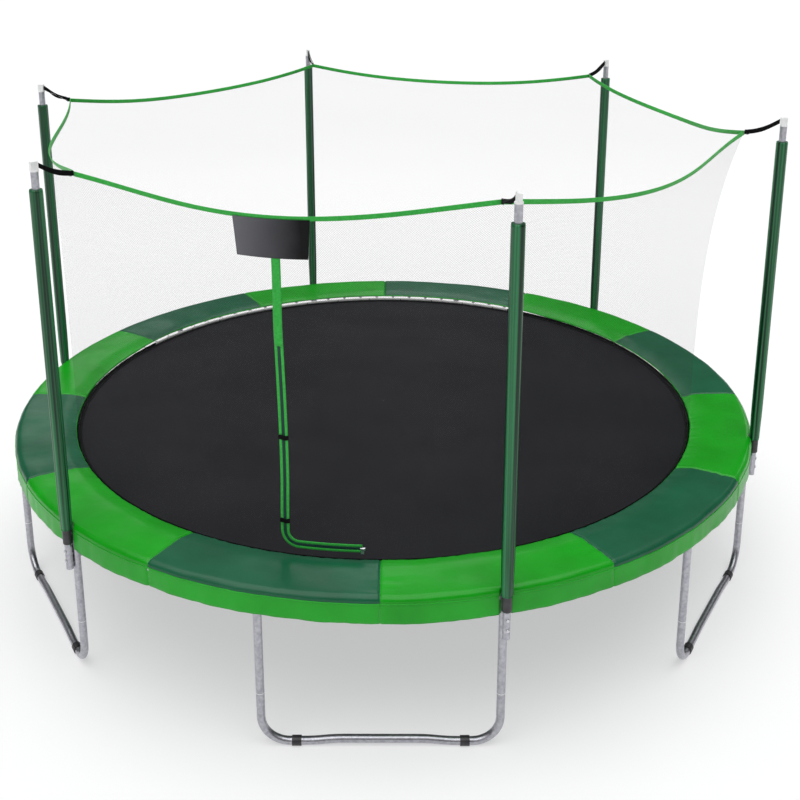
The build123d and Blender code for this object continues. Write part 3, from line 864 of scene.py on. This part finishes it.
def door():
    """Webbing above the zipper, the zipper's tapes and teeth, and the two tabs across it."""
    strap_top = net_top(DOOR_DEG)[1] - LABEL_DROP + 0.004

    def strap(along, across):
        z = ZIP_TOP_Z - 0.006 + (strap_top - ZIP_TOP_Z + 0.006) * along
        u = math.radians(DOOR_DEG) * NET_BASE_R + (across - 0.5) * 2 * DOOR_HALF + wander(z)
        return net_point(math.degrees(u / NET_BASE_R), z, 0.0035)

    piece = strip_on(strap, 30, 5, "door_webbing", GREEN_WEBBING, 0.0016)
    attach(piece, "frame")
    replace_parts(piece, "door_strap")
    inner = zip_strip("zipper_tape_in", 0.008, DOOR_HALF, 0.003, 0.0016, GREEN_WEBBING)
    zip_strip("zipper_tape_out", -DOOR_HALF, -0.008, 0.003, 0.0016, GREEN_WEBBING)
    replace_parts(inner, "zipper_tapes")
    chain = zip_strip("zipper_teeth", -0.0085, 0.0085, 0.0028, 0.0018, COIL)
    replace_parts(chain, "zipper_chain")
    for k, level in enumerate(TAB_Z):
        def tab(along, across, level=level):
            u = math.radians(DOOR_DEG) * NET_BASE_R + (along - 0.5) * 0.052 + wander(level)
            z = level + (across - 0.5) * 0.024 + 0.002 * math.sin(along * 7)
            return net_point(math.degrees(u / NET_BASE_R), z, 0.0058 + 0.003 * math.sin(math.pi * along))

        tab_piece = strip_on(tab, 14, 6, f"door_tab_{k + 1}", BLACK_WEBBING, 0.002)
        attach(tab_piece, "frame")
        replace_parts(tab_piece, "door_tabs")


# ---- poles ----------------------------------------------------------------
def foam_sleeve(index):
    """Foam tube in a tight cover that creases lengthwise and sits unevenly."""
    degrees = POLE_START + index * POLE_STEP
    turned = Matrix.Rotation(math.radians(degrees), 3, "Z")
    rows = steps(0, 1, 150)
    sides = 40
    points = []
    for share in rows:
        z = FOAM_BOTTOM + (FOAM_TOP - FOAM_BOTTOM) * share
        end = min(share, 1 - share) * (FOAM_TOP - FOAM_BOTTOM)
        taper = 0.0015 * (1 - smooth(end / 0.006)) + 0.003 * (1 - smooth(share / 0.12))
        for side in range(sides):
            angle = 2 * math.pi * side / sides
            direction = Vector((math.cos(angle), math.sin(angle), 0))
            crease = noise.noise(direction * 2.2 + Vector((index * 5.1, 0, z * 0.35)))
            ridge = abs(noise.noise(direction * 3.0 + Vector((0, index * 3.3, z * 0.3))))
            radius = FOAM_R - 0.0018 - taper + 0.0020 * crease - 0.010 * max(0.0, 0.16 - ridge)
            points.append(polar(POLE_R, degrees, z) + turned @ (direction * radius))
    faces = grid_faces(len(rows), sides, True)
    ends = []
    for z, row in ((FOAM_BOTTOM, 0), (FOAM_TOP, len(rows) - 1)):
        base = len(points)
        for side in range(sides):
            angle = 2 * math.pi * side / sides + math.radians(degrees)
            bore = Vector((FOAM_BORE_R * math.cos(angle), FOAM_BORE_R * math.sin(angle), 0))
            points.append(polar(POLE_R, degrees, z) + bore)
            ahead = (side + 1) % sides
            ends.append((row * sides + side, row * sides + ahead, base + ahead, base + side))
    piece = mesh_piece(f"foam_sleeve_{index + 1}", points, faces + ends, FOAM_COVER)
    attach(piece, "frame")
    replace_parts(piece, "foam_sleeves")


def pole_strap(index):
    """Black webbing on edge, doubled between the cap and the net's corner, sagging and lightly twisted."""
    degrees = POLE_START + index * POLE_STEP
    high = Vector((POLE_R - CAP_TAB_HALF - 0.003, 0, cap_high[2] - 0.022))
    low = Vector((NET_CORNER_R + 0.004, 0, NET_CORNER_Z + 0.004))
    turned = Matrix.Rotation(math.radians(degrees), 4, "Z")
    twist = STRAP_TWIST[index]
    for layer, side_sign in enumerate((-1, 1)):
        def spot(along, across, side_sign=side_sign):
            bow = math.sin(math.pi * along)
            middle = high.lerp(low, along) - Vector((0, 0, STRAP_SAG * bow))
            angle = twist * bow * (1 + 0.3 * side_sign)
            part = side_sign * (0.0022 + 0.0045 * bow)
            side = (across - 0.5) * STRAP_WIDTH
            return turned @ (middle + Vector((0, part * math.cos(angle) + side * math.sin(angle),
                                              side * math.cos(angle) - part * math.sin(angle))))

        piece = strip_on(spot, 26, 5, f"pole_strap_{index + 1}_{layer + 1}",
                         BLACK_WEBBING, 0.0026)
        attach(piece, "frame")
        if index == 0 and layer == 0:
            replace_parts(piece, "pole_straps")


# ---- stage ----------------------------------------------------------------
def camera():
    """The eye stands in front, a little above the net's top, and looks slightly down with a shifted lens."""
    turn = math.radians(EYE_BEARING)
    data = bpy.data.cameras.new("camera")
    eye = bpy.data.objects.new("camera", data)
    bpy.context.scene.collection.objects.link(eye)
    eye.location = (EYE_DISTANCE * math.sin(turn), -EYE_DISTANCE * math.cos(turn), EYE_HEIGHT)
    pan = Matrix.Rotation(math.radians(EYE_PAN), 4, "Z")
    pitch = Matrix.Rotation(math.radians(90 - EYE_PITCH), 4, "X")
    roll = Matrix.Rotation(math.radians(EYE_ROLL), 4, "Z")
    eye.rotation_euler = (pan @ pitch @ roll).to_euler()
    data.sensor_width = SENSOR_MM
    data.lens = SENSOR_MM * LENS_RATIO
    data.shift_x = SHIFT_X
    data.shift_y = SHIFT_Y
    bpy.context.scene.camera = eye


def sun(name, aim, strength, spread):
    """An even, very soft light from far off; aim is where it shines towards."""
    data = bpy.data.lights.new(name, "SUN")
    data.energy = strength
    data.angle = math.radians(spread)
    lamp = bpy.data.objects.new(name, data)
    lamp.rotation_euler = Vector(aim).to_track_quat("-Z", "Y").to_euler()
    bpy.context.scene.collection.objects.link(lamp)


def softbox(name, spot, aim, width, height, power):
    """A glowing panel that the camera doesn't see, only what it lights and its reflection."""
    data = bpy.data.lights.new(name, "AREA")
    data.shape = "RECTANGLE"
    data.size, data.size_y = width, height
    data.energy = power
    lamp = bpy.data.objects.new(name, data)
    lamp.location = spot
    lamp.rotation_euler = (Vector(aim) - Vector(spot)).to_track_quat("-Z", "Y").to_euler()
    lamp.visible_camera = False
    bpy.context.scene.collection.objects.link(lamp)


def studio_sky():
    """White where the camera looks past the floor; for everything else bright overhead and dim low down."""
    world = bpy.data.worlds.new("studio")
    world.use_nodes = True
    tree = world.node_tree
    background = tree.nodes["Background"]
    place = tree.nodes.new("ShaderNodeTexCoord").outputs["Generated"]
    split = tree.nodes.new("ShaderNodeSeparateXYZ")
    tree.links.new(place, split.inputs["Vector"])
    rise = tree.nodes.new("ShaderNodeMapRange")
    rise.interpolation_type = "SMOOTHSTEP"
    limits = {"From Min": SKY_DIM_BELOW, "From Max": 1.0, "To Min": SKY_DIM, "To Max": 1.0}
    for name, value in limits.items():
        rise.inputs[name].default_value = value
    tree.links.new(split.outputs["Z"], rise.inputs["Value"])
    pick = tree.nodes.new("ShaderNodeMix")
    pick.data_type = "FLOAT"
    tree.links.new(tree.nodes.new("ShaderNodeLightPath").outputs["Is Camera Ray"], pick.inputs["Factor"])
    tree.links.new(rise.outputs["Result"], pick.inputs["A"])
    pick.inputs["B"].default_value = 1.0
    tree.links.new(pick.outputs["Result"], background.inputs["Strength"])
    background.inputs["Color"].default_value = (1, 1, 1, 1)
    bpy.context.scene.world = world


def stage():
    """The lights, and a pale floor that glows a little so that the shadow on it stays light."""
    studio_sky()
    s = Shader("studio_floor", (0.46, 0.46, 0.46), 0.9, Specular_IOR_Level=0.0,
               Emission_Color=(1, 1, 1.01, 1), Emission_Strength=0.50)
    s.tint(s.noise(0.4, 2), (0.455, 0.455, 0.455), (0.465, 0.465, 0.465))
    reach = FLOOR_REACH
    corners = [(-reach, -reach), (reach, -reach), (reach, reach), (-reach, reach)]
    floor = mesh_piece("floor", [(x, y, -0.001) for x, y in corners], [(0, 1, 2, 3)], s.material)
    for light in SUNS:
        sun(*light)
    for light in SOFTBOXES:
        softbox(*light)
    bpy.context.scene.view_settings.view_transform = "Standard"


def build():
    """Everything in order; one piece of each kind stands in for the CAD node."""
    camera()
    stage()
    finish_cad()
    pads = []
    for k in range(SECTORS):
        pads.append(pad_segment(k))
        pad_piping(k)
    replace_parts(pads[0], "pad_bright", "pad_dark", "pad_skirt")
    sectors = [mat_sector(k) for k in range(SECTORS)]
    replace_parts(sectors[0], "mat")
    edges = [mat_edge(k) for k in range(SECTORS)]
    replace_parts(edges[0], "mat_hem")
    springs = [spring_sector(k) for k in range(SECTORS)]
    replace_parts(springs[0], "springs", "v_rings")
    for k in range(POLE_COUNT):
        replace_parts(net_panel(k), f"net_panel_{k + 1}")
        webbing_piece = top_webbing(k)
        if k == 0:
            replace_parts(webbing_piece, "net_top_webbing")
        foam_sleeve(k)
        pole_strap(k)
    hems = [hem_sector(k) for k in range(SECTORS)]
    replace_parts(hems[0], "net_hem")
    for k in range(SECTORS):
        hem_ties(k)
    banner()
    door()


build()
